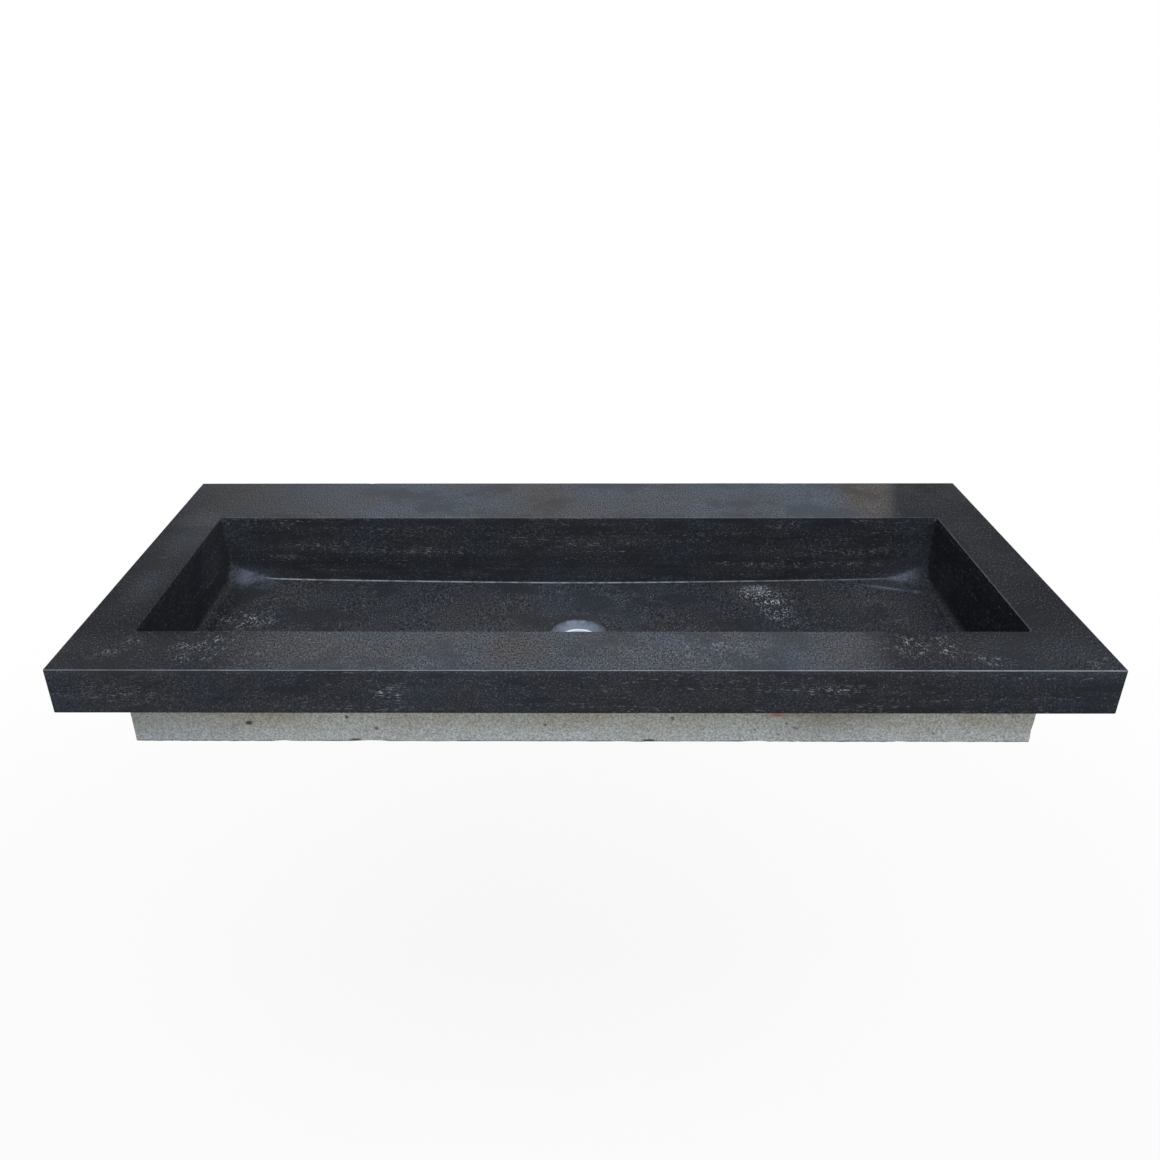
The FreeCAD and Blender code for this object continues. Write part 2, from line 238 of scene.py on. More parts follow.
# The bowl, from the outlet's mouth to the top of the walls
def bowlRows(s, walk):
    facing = walk[2]
    cove = s["coveLong"] + (s["coveShort"] - s["coveLong"]) * np.cos(facing) ** 2
    depth = s["rimTop"] - s["floorLow"]

    def wallPoints(height, away):  # points at a height, some way in from the drafted wall
        inset = s["wallDraft"] * (s["rimTop"] - height) / depth + away
        corner = np.maximum(s["openingCorner"] - away, s["leastCorner"])
        return ringPoints(walk, s["opening"], inset, corner, height)

    foot = wallPoints(np.full(len(facing), s["floorLow"]), cove)
    footHeight = floorHeight(s, foot[:, 0], foot[:, 1])
    swing = column(np.linspace(0, np.pi / 2, 7))
    coveRows = wallPoints(footHeight + cove * (1 - np.cos(swing)), cove * (1 - np.sin(swing)))
    angle = np.arctan2(coveRows[0, :, 1], coveRows[0, :, 0])
    mouth = s["recessMouth"] * np.stack([np.cos(angle), np.sin(angle)], -1)
    share = np.linspace(0, 1, s["floorRows"] + 1)[:-1, None, None] ** .9
    flat = mouth + (coveRows[0, :, :2] - mouth) * share
    floorRows = np.dstack([flat, floorHeight(s, flat[..., 0], flat[..., 1])])
    bottom = footHeight + cove
    top = s["rimTop"] - s["arris"]
    wallRows = wallPoints(bottom + (top - bottom) * heldShares(s["wallRows"], s["edgeHold"]), 0)
    return floorRows, coveRows, wallRows, angle


# The rim: rounded inner arris, land, rounded outer arris, face and underside
def rimRows(s, walk):
    swing = column(np.linspace(0, np.pi / 2, 5))
    opening, outer, block = (np.array(s[key]) for key in ("opening", "outer", "block"))
    arris, lower, top = s["arris"], s["lowerArris"], s["rimTop"]

    def blended(first, second, firstCorner, secondCorner, shares, height):
        sides = [a + (b - a) * shares for a, b in zip(first, second)]
        return ringPoints(walk, sides, 0, firstCorner + (secondCorner - firstCorner) * shares, height)

    grow = np.array([-1, 1, -1, 1])
    inner = ringPoints(walk, opening, -arris * (1 - np.cos(swing)),
                       s["openingCorner"], top - arris * (1 - np.sin(swing)))
    land = blended(opening + grow * arris, outer - grow * arris, s["openingCorner"], s["outerCorner"],
                   heldShares(s["landRows"], s["landHold"]), top)
    edge = ringPoints(walk, outer, arris * (1 - np.sin(swing)), s["outerCorner"],
                      top - arris * (1 - np.cos(swing)))
    drop = s["rimUnder"] + lower - top + arris
    face = ringPoints(walk, outer, 0, s["outerCorner"],
                      top - arris + drop * heldShares(s["faceRows"], s["edgeHold"]))
    foot = ringPoints(walk, outer, lower * (1 - np.cos(swing[1:])), s["outerCorner"],
                      s["rimUnder"] + lower * (1 - np.sin(swing[1:])))
    under = blended(outer - grow * lower, block, s["outerCorner"], s["blockCorner"],
                    heldShares(s["underRows"], s["edgeHold"]), s["rimUnder"])
    return inner, land, edge, face, foot, under


# The lower block, its underside, and the outlet turned up through it
def lowerRows(s, walk, mouthAngle):
    swing = column(np.linspace(0, np.pi / 2, 4))
    lower, bottom = s["lowerArris"], s["blockBottom"]
    drop = bottom + lower - s["rimUnder"]
    face = ringPoints(walk, s["block"], 0, s["blockCorner"],
                      s["rimUnder"] + drop * heldShares(s["blockRows"], s["edgeHold"]))
    foot = ringPoints(walk, s["block"], lower * (1 - np.cos(swing)), s["blockCorner"],
                      bottom + lower * (1 - np.sin(swing)))
    angle = np.arctan2(foot[-1, :, 1], foot[-1, :, 0])
    seat = s["underSeat"] * np.stack([np.cos(angle), np.sin(angle)], -1)
    share = np.linspace(0, 1, s["undersideRows"] + 2)[1:, None, None]
    flat = foot[-1, :, :2] + (seat - foot[-1, :, :2]) * share
    underside = np.dstack([flat, np.full(flat.shape[:2], bottom)])
    bore, high, low = s["boreRadius"], s["recessSeatHeight"], s["underSeatHeight"]
    rise = (floorHeight(s, s["recessMouth"], 0) - high) / (s["recessMouth"] - s["recessSeat"])
    outline = [(s["underSeat"], low), (bore + s["seatStep"], low), (bore, low)]
    outline += [(bore, low + (high - low) * share) for share in (.33, .67, 1)]
    outline += [(bore + s["recessStep"], high), (s["recessSeat"], high)]
    slant = np.linspace(s["recessSeat"], s["recessMouth"], s["recessRows"])[1:-1]
    outline += [(r, high + rise * (r - s["recessSeat"])) for r in slant]
    radius, height = (column(values) for values in zip(*outline))
    # the way round from the underside's angles to the floor's
    step = np.angle(np.exp(1j * (mouthAngle - angle)))
    angles = angle + step * column(np.linspace(0, 1, len(outline)))
    turned = np.stack(np.broadcast_arrays(radius * np.cos(angles), radius * np.sin(angles), height), -1)
    return face, foot, underside, turned


# Stone left in the bowl's bottom corners: a point past a ball is drawn in to the ball's surface.
# The ball meets the corner's three edges at the fill's reach along each of them
def fillCorners(s, points):
    x0, x1, y0, y1 = s["opening"]
    reach, radius = np.array(s["fillReach"]), s["fillBall"]
    steepness, middle = (1 / reach ** 2).sum(), (reach ** 2).sum() / 4
    lift = (math.sqrt(1 + 4 * steepness * (radius ** 2 - middle)) - 1) / (2 * steepness)
    inward = reach / 2 + lift / reach
    filled = np.zeros(points.shape[:2])
    for xSide, ySide in ((-1, -1), (1, -1), (1, 1), (-1, 1)):
        xCorner = (x0 if xSide < 0 else x1) - xSide * s["wallDraft"]
        yCorner = (y0 if ySide < 0 else y1) - ySide * s["wallDraft"]
        corner = np.array([xCorner, yCorner, floorHeight(s, xCorner, yCorner)])
        outward = np.array([xSide, ySide, -1])
        away = points - (corner - inward * outward)
        length = np.linalg.norm(away, axis=-1)
        near = (away * outward > 0).all(-1)
        over = np.clip((length - radius) / s["fillBlend"], -30, 60)
        drawn = np.where(near, s["fillBlend"] * np.log1p(np.exp(over)), 0)
        points = points - away * (drawn / length)[..., None]
        filled = np.maximum(filled, np.where(near, smoothStep(over, -.5, 2), 0))
    return points, filled


# A soft patch, strongest at its middle and fading over its three radii
def patch(points, middle, radii):
    return np.exp(-(((points - np.array(middle)) / np.array(radii)) ** 2).sum(-1))


stoneMarks = dict(
    cloudsAndSheen=[  # middle, radii, strength: soft pale clouds on the bowl, the rim and the face, those on the rim a painted sheen
        ((.387, .079, -.04), (.07, .05, .03), .22), ((-.38, .09, -.04), (.06, .03, .03), .25),
        ((-.09, .00, -.045), (.13, .09, .03), .30), ((.02, .10, -.04), (.10, .03, .03), .25),
        ((.235, .110, -.041), (.016, .012, .03), .90), ((-.49, -.06, .05), (.018, .05, .03), .32),
        ((-.485, .06, .05), (.02, .04, .03), .32), ((-.485, .13, .05), (.03, .03, .03), .32),
        ((.45, -.205, .05), (.08, .05, .02), .14), ((.02, .035, -.045), (.07, .035, .03), .25),
        ((-.14, -.24, .025), (.07, .02, .03), .13), ((-.12, -.20, .05), (.05, .05, .02), .22),
        ((.015, -.20, .05), (.05, .05, .02), .14), ((-.462, .09, 0), (.02, .045, .04), .40),
        ((.462, .08, -.01), (.02, .05, .03), .22), ((.448, .135, -.005), (.022, .02, .03), .28),
    ],
    brownCloudsAndReflections=[  # brownish clouds, those on the back rim painted reflections
        ((-.043, .20, .05), (.042, .09, .04), .75), ((.401, .215, .05), (.034, .08, .04), 2.2),
        ((-.47, .20, .05), (.06, .07, .04), .8), ((-.065, -.20, .05), (.045, .05, .03), .7),
        ((-.34, -.20, .05), (.07, .05, .03), .8), ((-.20, .06, -.04), (.12, .07, .03), .5),
        ((.30, .03, -.04), (.10, .06, .03), .4), ((-.235, -.20, .05), (.07, .05, .03), .4),
        ((.265, -.205, .05), (.03, .04, .03), .35),
    ],
    flecks=[  # clusters of pale flecks
        ((.232, .102, -.041), (.022, .016, .03), 1.4), ((.246, .078, -.041), (.020, .020, .03), 1.2),
        ((.252, .040, -.041), (.014, .024, .03), .9), ((-.41, .022, -.04), (.034, .022, .03), .7),
        ((-.484, -.216, .05), (.010, .007, .03), .35), ((-.470, -.200, .05), (.010, .007, .03), .4),
        ((-.458, -.186, .05), (.011, .008, .03), .5), ((-.375, -.185, .05), (.022, .014, .03), .4),
        ((-.335, -.20, .05), (.045, .035, .03), .12), ((.345, -.195, .05), (.036, .020, .02), .55),
        ((.40, -.222, .05), (.014, .006, .02), .9), ((.12, -.20, .05), (.07, .03, .03), .3),
        ((-.191, -.24, .024), (.014, .01, .009), 1.1), ((.241, -.24, .026), (.04, .01, .005), .7),
        ((-.45, -.24, .025), (.05, .01, .014), .25), ((-.205, .135, .004), (.08, .02, .005), .6),
        ((-.33, .135, .012), (.06, .02, .005), .4), ((.02, .135, .014), (.06, .02, .005), .5),
        ((.34, .135, .002), (.09, .02, .006), .4), ((.30, .135, -.016), (.12, .02, .004), .6),
    ],
    block=[  # colour, middle, radii, strength: a cooler left end, a brown stain, dark pits and a red mark
        ("smear", (-.475, -.19, -.055), (.16, .1, .08), .30),
        ("brown", (.260, -.19, -.035), (.09, .1, .05), .25),
        ("pit", (-.351, -.19, -.046), (.005, .01, .0035), 1.6),
        ("rust", (.205, -.19, -.0355), (.014, .01, .003), 1.0),
        ("pit", (-.24, -.19, -.068), (.008, .01, .003), 1.5),
        ("pit", (.072, -.19, -.068), (.010, .01, .0025), 1.5),
    ],
    smears=[  # middle, radii, degrees, strength: chalky smears in the back corners
        ((.418, .124, -.028), (.046, .028, .026), 0, .15), ((.403, .108, -.039), (.040, .005, .03), -19, .8),
        ((.438, .096, -.037), (.008, .007, .02), 0, .9), ((-.428, .121, -.030), (.040, .026, .019), 0, .4),
        ((-.415, .124, -.037), (.020, .006, .02), 0, .6),
    ],
)


def sumOfPatches(points, listed):
    return sum(strength * patch(points, middle, radii) for middle, radii, strength in listed)


# Outward direction at each grid point, from its neighbours along and across
def gridNormals(points):
    along = np.roll(points, -1, 0) - np.roll(points, 1, 0)
    across = np.roll(points, -1, 1) - np.roll(points, 1, 1)
    normal = np.cross(along, across)
    return normal / np.maximum(np.linalg.norm(normal, axis=-1, keepdims=True), 1e-12)


# The painted sheen: a pale reflection painted into the colour across the rim's middle, wider at the back than
# at the front, which fades out towards both ends
def rimSheen(x, y):
    share = np.clip((y + .2) / .4, 0, 1.15)
    onLeft = smoothStep(x, -.385 - .215 * share, -.250)
    onRight = 1 - smoothStep(x, .262 + .143 * share, .318 + .117 * share)
    return onLeft * onRight


# Wear on the arrises with a painted highlight over it: strong along the front edge and most to its right,
# faint round the opening and least on the opening's left
def wearAndHighlightOnEdges(points, inner, outer):
    x, y = points[..., 0], points[..., 1]
    outerShare = .30 + .70 * smoothStep(-y, .230, .238)
    outerShare *= .6 + .4 * smoothStep(x, -.45, -.33) + .5 * smoothStep(x, .12, .42)
    innerShare = .30 + .15 * smoothStep(x, .455, .462) - .20 * smoothStep(-x, .455, .462)
    uneven = .8 + .4 * latticeNoise(points, .03, 9)
    return np.clip((outer * outerShare + inner * innerShare) * uneven, 0, 1.5)


def carveStone(s):
    walk = rectangleWalk(s)
    floorRows, coveRows, wallRows, mouthAngle = bowlRows(s, walk)
    bowl, filled = fillCorners(s, np.concatenate([floorRows, coveRows, wallRows]))
    rim = rimRows(s, walk)
    lower = lowerRows(s, walk, mouthAngle)
    groups = [bowl, *rim, *lower]
    points = np.concatenate(groups)
    names = ["bowl", "inner", "land", "edge", "face", "foot", "under"]
    names += ["block", "blockFoot", "bottom", "outlet"]
    zone = np.repeat(names, [len(group) for group in groups])[:, None]
    zone = np.broadcast_to(zone, points.shape[:2])

    def isIn(*wanted):
        return np.isin(zone, wanted).astype(float)

    bowlFloor = np.zeros(points.shape[:2])
    bowlFloor[:len(floorRows)] = 1
    cove = np.zeros(points.shape[:2])
    coveTop = len(floorRows) + len(coveRows)
    cove[len(floorRows):coveTop] = np.sin(column(np.linspace(0, np.pi, len(coveRows))))
    fill = np.zeros(points.shape[:2])
    fill[:len(bowl)] = filled
    sawn = isIn("under", "block", "blockFoot", "bottom")
    arris = isIn("inner", "edge")
    x, y, z = np.moveaxis(points, -1, 0)
    normal = gridNormals(points)
    sideWall = isIn("bowl") * (1 - bowlFloor) * smoothStep(np.abs(normal[..., 0]), .5, .9)

    # all shaping goes inwards, so that the stone never grows: slow waves on the honed faces,
    # nicks along the arrises, grain and pits on the sawn block and a ragged bottom edge
    nicks = smoothStep(latticeNoise(points, .009, 3), .72, .95)
    nicks = nicks * smoothStep(latticeNoise(points, .05, 4), .35, .7)
    waves = latticeNoise(points, (.11, .11, .05), 5)
    grain = latticeNoise(points, .0045, 6)
    pits = smoothStep(latticeNoise(points, .011, 7), .80, .95)
    ragged = smoothStep(latticeNoise(points, (.021, .021, .05), 8), .68, .95)
    depth = s["waveDepth"] * waves * (1 - sawn) + s["nickDepth"] * nicks * arris
    depth += sawn * (s["grainDepth"] * grain + s["pitDepth"] * pits) * (1 - isIn("bottom"))
    depth += isIn("blockFoot") * (s["raggedDepth"] * ragged + s["footGrain"] * grain)
    depth *= 1 - isIn("outlet")
    shaped = points - normal * depth[..., None]
    outside = isIn("face", "foot", "edge", "block", "blockFoot")
    print("stone: deepest chip", round(float((depth * outside).max()) * 1000, 2), "mm")

    # masks for the colours: wear with a painted highlight is most where an arris is half turned, a highlight
    # is painted along the back crease, the filled corners are pale at the back, and shade is painted on the
    # side walls, the rim away from its front, the right of the face and walls and the floor's left edge
    # the crease mask paints a highlight along the cove, strongest at the back
    backCrease = smoothStep(y, .118, .130) * (1 - .5 * smoothStep(x, 0, .36))
    sideCrease = .05 * smoothStep(np.abs(x), .40, .44)
    edgeWearAndHighlight = wearAndHighlightOnEdges(points, isIn("inner"), isIn("edge"))
    # painted shade: darker rim away from its front, darker right of the face and walls, darker floor edge by
    # the left wall
    darkRim = (1 - .55 * smoothStep(-y, .15, .20)) * isIn("inner", "land", "edge")
    darkRight = .18 * smoothStep(x, .10, .30) * (isIn("face") + isIn("bowl") * (1 - bowlFloor) * (1 - cove))
    darkFoot = .7 * smoothStep(-x, .415, .45) * (1 - smoothStep(y, .06, .11)) * isIn("bowl") * (1 - sideWall)
    paleFill = np.where(y > 0, 2.7 * smoothStep(y, .104, .122), 1) * (1 - smoothStep(np.abs(x), .430, .456))
    # painted sheen: the pale middle of the rim and a paler band along the top of the face
    paleRim = isIn("inner", "land") * rimSheen(x, y) + isIn("face") * .25 * smoothStep(z, .041, .049)
    masks = dict(
        sawn=sawn,
        ground=isIn("outlet"),
        fill=fill * paleFill,
        crease=cove * (1 - fill) * np.clip(backCrease + sideCrease, 0, 1),
        wearAndHighlight=edgeWearAndHighlight * 4 * normal[..., 2] ** 2 * (1 - normal[..., 2] ** 2),
        paintedShade=np.clip(darkRim + darkRight + darkFoot + sideWall * np.where(x > 0, .55, .35), 0, 1),
        cloudsAndSheen=np.clip(paleRim + sumOfPatches(points, stoneMarks["cloudsAndSheen"]), 0, 1.2),
        brownCloudsAndReflections=np.clip(sumOfPatches(points, stoneMarks["brownCloudsAndReflections"]), 0, 1),
        flecks=np.clip(sumOfPatches(points, stoneMarks["flecks"]), 0, 1.3),
    )
    return meshPiece("stoneBasin", shaped, [gridFaces(*points.shape[:2], True)], 38, masks)


# The pale cool and warm cloud colours also paint a sheen; deep also paints shade, and the pale edge colour
# also paints highlights
stoneLook = dict(
    cool=tone(55, 59, 67), warm=tone(58, 59, 63), deep=tone(30, 32, 37),
    cloudsAndSheenCool=tone(86, 95, 108), cloudsAndSheenWarm=tone(87, 90, 96), brown=tone(84, 76, 68),
    fleck=tone(198, 204, 211), chalk=tone(130, 136, 147), smear=tone(112, 122, 140),
    wearAndHighlight=tone(168, 177, 192), ground=tone(136, 148, 166),
    sawn=tone(204, 208, 203), sawnWarm=tone(190, 186, 172), sawnCool=tone(204, 211, 216),
    pit=tone(72, 71, 68), rust=tone(196, 120, 108),
    specular=.025, bump=.35, bumpDepth=.0006,
)


def stoneFinish(c):
    finish, tree, shader = newFinish("honedStone")
    place = objectPlace(tree)
    bedded = objectPlace(tree, (1, 1, 7))  # the beds lie level, so marks are long on upright faces
    clouds = between(tree, noiseOf(tree, place, 9, 5, .6), .38, .62)
    beds = noiseOf(tree, objectPlace(tree, (2.2, 2.2, 110)), 1, 4, .6)
    mottle = noiseOf(tree, place, 26, 4, .6)
    colour = blendColour(tree, clouds, c["cool"], c["warm"])
    colour = blendColour(tree, between(tree, beds, .42, .72, 0, .35), colour, c["deep"])
    # painted shade: the side walls, the rim away from its front, the right of the face and walls and the
    # floor's left edge are darkened
    colour = blendColour(tree, maskOf(tree, "paintedShade"), colour, c["deep"])

    # pale clouds, and a sheen painted across the rim's middle, tinted brown where brown reflections are
    # painted on the back rim
    warmer = calc(tree, "MAXIMUM", clouds, maskOf(tree, "brownCloudsAndReflections"))
    cloudsAndSheenColour = blendColour(tree, warmer, c["cloudsAndSheenCool"], c["cloudsAndSheenWarm"])
    cloudsAndSheen = calc(tree, "MULTIPLY", maskOf(tree, "cloudsAndSheen"), between(tree, mottle, .25, .7, .70, .95))
    colour = blendColour(tree, cloudsAndSheen, colour, cloudsAndSheenColour)
    brownCloudsAndReflections = calc(tree, "MULTIPLY", maskOf(tree, "brownCloudsAndReflections"), between(tree, mottle, .3, .65, .4, .85))
    colour = blendColour(tree, calc(tree, "MULTIPLY", brownCloudsAndReflections, cloudsAndSheen), colour, c["brown"])

    # fine grain, lighter and darker than the stone between: lively in some places, calm and darker in others.
    # It is longer from front to back, so that it shows on level faces too
    fine = noiseOf(tree, objectPlace(tree, (1, .5, 1)), 640, 2, .7)
    calm = between(tree, noiseOf(tree, objectPlace(tree, (1, 1, 3)), 17, 3, .6), .48, .64)
    colour = blendColour(tree, calc(tree, "MULTIPLY", calm, .30), colour, c["deep"])
    normal = addNode(tree, "ShaderNodeNewGeometry", {}).outputs["Normal"]
    slope = addNode(tree, "ShaderNodeSeparateXYZ", {0: normal}).outputs[2]
    upright = between(tree, slope, .3, .8, 1, 0)
    lively = calc(tree, "MULTIPLY", between(tree, calm, 0, 1, 5.0, 2.0), between(tree, upright, 0, 1, 1, .5))
    swing = calc(tree, "MULTIPLY", calc(tree, "SUBTRACT", fine, .5), lively)
    grain = calc(tree, "MAXIMUM", calc(tree, "ADD", swing, 1), .08)
    colour = blendColour(tree, 1.0, colour, grain, "MULTIPLY")
    dots = calc(tree, "MULTIPLY", between(tree, fine, .60, .70), between(tree, calm, 0, 1, .55, .15))
    colour = blendColour(tree, dots, colour, c["chalk"])

    # rows of short dashes along the beds, on the upright faces
    dashes = between(tree, noiseOf(tree, objectPlace(tree, (.4, .4, 1.5)), 430, 1), .60, .70)
    rows = between(tree, noiseOf(tree, objectPlace(tree, (6, 6, 190)), 1, 2), .50, .66, .03, .55)
    dashes = calc(tree, "MULTIPLY", calc(tree, "MULTIPLY", dashes, rows), upright)
    colour = blendColour(tree, dashes, colour, c["chalk"])

    # vein flecks: thin lines where a noise crosses its middle value, broken up and kept to clusters,
    # long along the beds on the upright faces
    def veins(place):
        away = calc(tree, "ABSOLUTE", calc(tree, "SUBTRACT", noiseOf(tree, place, 200, 2, .6), .5))
        return between(tree, away, .045, .008)

    level = calc(tree, "SUBTRACT", 1.0, upright)
    levelVeins = calc(tree, "MULTIPLY", veins(objectPlace(tree, (1, .6, 1), (0, 0, -.5))), level)
    uprightVeins = calc(tree, "MULTIPLY", veins(objectPlace(tree, (.5, .5, 2.4))), upright)
    lines = calc(tree, "ADD", levelVeins, uprightVeins)
    broken = between(tree, noiseOf(tree, objectPlace(tree, (1, .6, 3)), 330, 1), .44, .56)
    clumps = between(tree, noiseOf(tree, place, 75, 3), .40, .60, .25, 1.3)
    clusters = between(tree, noiseOf(tree, bedded, 13, 2), .60, .76, 0, .25)
    clusters = calc(tree, "MULTIPLY", calc(tree, "MAXIMUM", clusters, maskOf(tree, "flecks")), clumps)
    flecks = calc(tree, "MULTIPLY", calc(tree, "MULTIPLY", lines, broken), clusters)
    colour = blendColour(tree, calc(tree, "MINIMUM", flecks, .95), colour, c["fleck"])

    # worn arrises with a painted highlight, a highlight painted along the crease, the ground corners and the
    # ground recess
    patchiness = between(tree, noiseOf(tree, place, 90, 3), .36, .62, .7, 1)
    colour = blendColour(tree, calc(tree, "MULTIPLY", maskOf(tree, "wearAndHighlight"), patchiness), colour, c["wearAndHighlight"])
    crease = calc(tree, "MULTIPLY", maskOf(tree, "crease"), between(tree, patchiness, .7, 1, .4, .85))
    colour = blendColour(tree, crease, colour, c["wearAndHighlight"])
    chalky = calc(tree, "MULTIPLY", between(tree, noiseOf(tree, place, 60, 4, .65), .40, .60, .25, 1.2),
                  between(tree, fine, .35, .65, .6, 1.4))
    fill = calc(tree, "MULTIPLY", maskOf(tree, "fill"), between(tree, chalky, .15, 1.7, .12, .37))
    colour = blendColour(tree, fill, colour, c["smear"])
    for middle, radii, degrees, strength in stoneMarks["smears"]:
        smear = softPatch(tree, middle, radii, degrees)
        smear = calc(tree, "MULTIPLY", smear, calc(tree, "MULTIPLY", chalky, strength))
        colour = blendColour(tree, calc(tree, "MINIMUM", smear, 1.0), colour, c["smear"])
    # the recess: pale, frayed at its mouth, with shade painted darker towards its left and right
    reach = lengthOf(tree, objectPlace(tree, (1, 1, 0)))
    sideways = lengthOf(tree, objectPlace(tree, (1, 0, 0)))
    ragged = between(tree, noiseOf(tree, place, 130, 3, .7), .40, .60, .6, 0)
    frayed = calc(tree, "MULTIPLY", between(tree, reach, .028, .0355), ragged)
    ground = calc(tree, "SUBTRACT", between(tree, fine, .3, .7, .85, 1), frayed)
    ground = calc(tree, "MULTIPLY", ground, between(tree, sideways, .012, .034, 1.05, .5))
    ground = calc(tree, "MULTIPLY", ground, maskOf(tree, "ground"))
    colour = blendColour(tree, ground, colour, c["ground"])

    # the sawn block: pale grain with warm stains near the rim and cooler below
    height = addNode(tree, "ShaderNodeSeparateXYZ", {0: place}).outputs[2]
    stains = noiseOf(tree, objectPlace(tree, (1, 1, 2.5)), 14, 4, .65)
    grit = noiseOf(tree, place, 460, 3, .8)
    sawnColour = blendColour(tree, between(tree, stains, .35, .7), c["sawn"], c["sawnWarm"])
    sawnColour = blendColour(tree, between(tree, height, -.035, -.066, 0, .8), sawnColour, c["sawnCool"])
    rough = addNode(tree, "ShaderNodeMapRange", {0: grit, 1: .30, 2: .70, 3: .45, 4: 1.55}).outputs[0]
    sawnColour = blendColour(tree, 1.0, sawnColour, rough, "MULTIPLY")
    holes = between(tree, noiseOf(tree, place, 90, 2), .34, .24, 0, .8)
    sawnColour = blendColour(tree, holes, sawnColour, c["pit"])
    for kind, middle, radii, strength in stoneMarks["block"]:
        stain = calc(tree, "MULTIPLY", softPatch(tree, middle, radii, 0), strength)
        sawnColour = blendColour(tree, calc(tree, "MINIMUM", stain, .9), sawnColour, c[kind])
    foot = calc(tree, "ADD", height, between(tree, stains, .3, .7, -.0006, .0006))
    foot = calc(tree, "MULTIPLY", between(tree, foot, -.0678, -.0690, 0, .8), between(tree, slope, -.9, -.5))
    sawnColour = blendColour(tree, foot, sawnColour, c["pit"])
    sawn = maskOf(tree, "sawn")
    colour = blendColour(tree, sawn, colour, sawnColour)

    polish = between(tree, mottle, .3, .7, .34, .48)
    polish = calc(tree, "ADD", polish, calc(tree, "MULTIPLY", maskOf(tree, "ground"), .15))
    polish = calc(tree, "MAXIMUM", polish, calc(tree, "MULTIPLY", sawn, .92))
    tree.links.new(colour, shader.inputs["Base Color"])
    tree.links.new(polish, shader.inputs["Roughness"])
    shader.inputs["Specular IOR Level"].default_value = c["specular"]
    relief = calc(tree, "ADD", calc(tree, "MULTIPLY", grain, .12), calc(tree, "MULTIPLY", grit, sawn))
    tree.links.new(bumpOf(tree, relief, c["bump"], c["bumpDepth"]), shader.inputs["Normal"])
    return finish


stonePiece = carveStone(stone)
dress(stonePiece, "basin", "stone_basin", stoneFinish(stoneLook))


# Turned pieces: an outline of (radius, height) points carried round the waste axis
def carriedRound(outline, steps):
    radius, height = (column(values) for values in np.asarray(outline, float).T)
    angle = np.linspace(0, 2 * np.pi, steps, endpoint=False)
    return np.stack(np.broadcast_arrays(radius * np.cos(angle), radius * np.sin(angle), height), -1), angle


# An arc that leaves its top level and ends lower down
def levelArc(top, foot, count):
    across, drop = foot[0] - top[0], top[1] - foot[1]
    radius = (across ** 2 + drop ** 2) / (2 * drop)
    swing = np.linspace(0, math.atan2(abs(across), radius - drop), count)
    return np.c_[top[0] + np.sign(across) * radius * np.sin(swing), top[1] - radius * (1 - np.cos(swing))]


waste = dict(
    flange=.0255, flangeUnder=-.0545, flangeEdge=.0010, crest=(.0226, -.0513), throat=.0204, lip=.0011,
    seat=-.0543, bore=.0184, bottom=-.1303, chamfer=.0010, tail=.02095,
    reliefTop=-.0840, reliefBottom=-.0860, reliefDepth=.0008, collar=.0218, collarUnder=-.0575,
    pitch=.0023, threadDepth=.0011, threadRows=190, steps=120,
    runOutFoot=.004, runOutTop=.003,
    bridgeTop=-.0993, bridgeBottom=-.1093, boss=.0090, bossHole=.00505, arm=.0030, arms=3, armEnd=.0192,
    bridgeEase=.0004,
)


